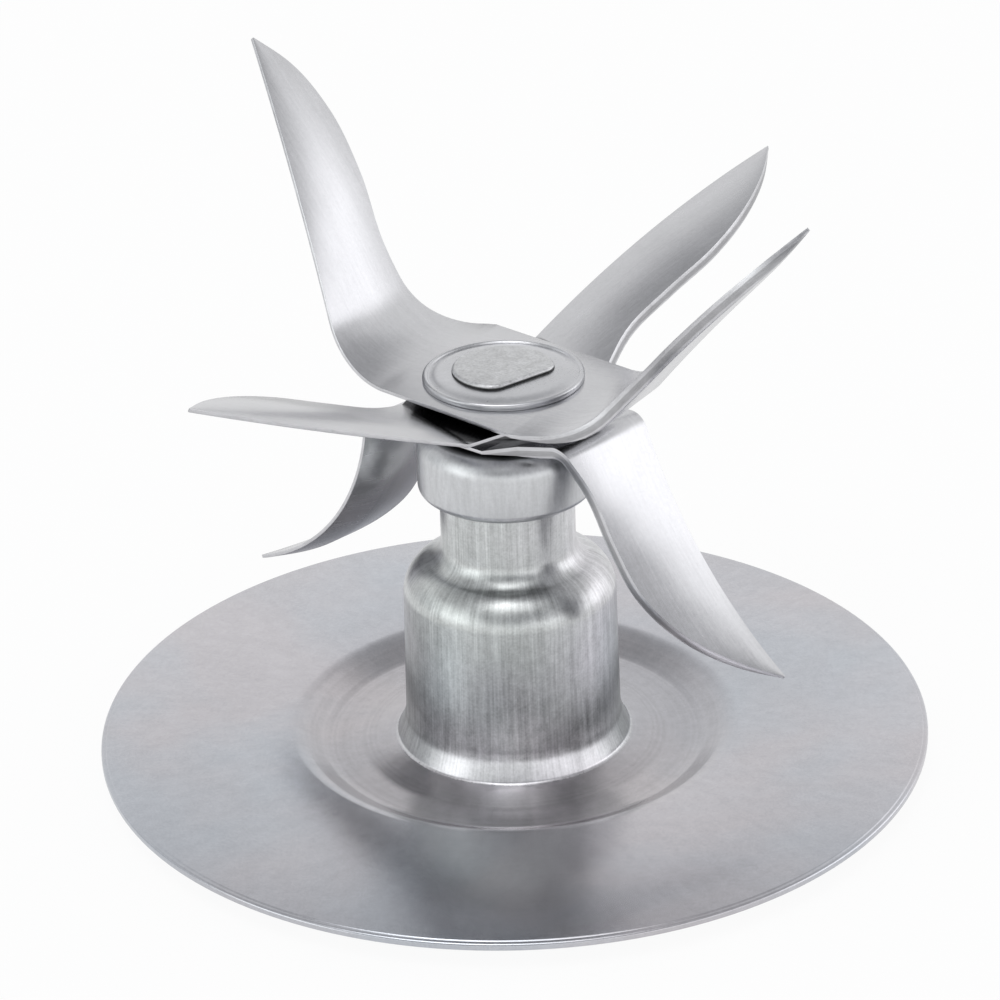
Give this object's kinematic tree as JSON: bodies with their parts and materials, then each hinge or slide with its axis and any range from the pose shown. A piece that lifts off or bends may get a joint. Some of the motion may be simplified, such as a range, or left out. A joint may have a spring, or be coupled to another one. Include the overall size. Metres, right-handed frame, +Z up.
{
  "type": "blender blade assembly",
  "caption": "Blender blade assembly: bent stainless blades riveted to a spindle that turns in a drawn steel base with a round flange and a square drive socket.",
  "frame": {"origin": "on the spindle's axis, at the underside of the recessed middle of the base, which is the lowest point", "axes": "+Z up along the spindle from the base to the blades; -Y towards the viewer of the picture and +X to its right, with the blades at the angles that it shows"},
  "size_m": [0.062, 0.062, 0.0501],
  "materials": {
    "base_steel": "drawn satin stainless steel",
    "blade_steel": "lengthwise brushed stainless steel with ground edges",
    "cap_steel": "drawn satin stainless steel",
    "spindle_steel": "ground steel with a blasted riveted head",
    "socket_steel": "turned steel",
    "bronze": "sintered bronze",
    "nylon": "natural nylon",
    "seal_rubber": "black rubber"
  },
  "bodies": {
    "housing": {"base_housing": "base_steel", "bearing_bush": "bronze", "shaft_seal": "seal_rubber", "upper_thrust_washer": "nylon"},
    "rotor": {"spindle": "spindle_steel", "drive_socket": "socket_steel", "lower_thrust_washer": "nylon", "slinger_cap": "cap_steel", "blade_spacer": "cap_steel", "top_washer": "cap_steel", "lower_blade": "blade_steel", "middle_blade": "blade_steel", "upper_blade": "blade_steel"}
  },
  "joints": [
    {"name": "spindle_spin", "type": "hinge", "parent": "housing", "child": "rotor", "pos_m": [0, 0, 0], "axis": [0, 0, 1], "continuous": true}
  ]
}
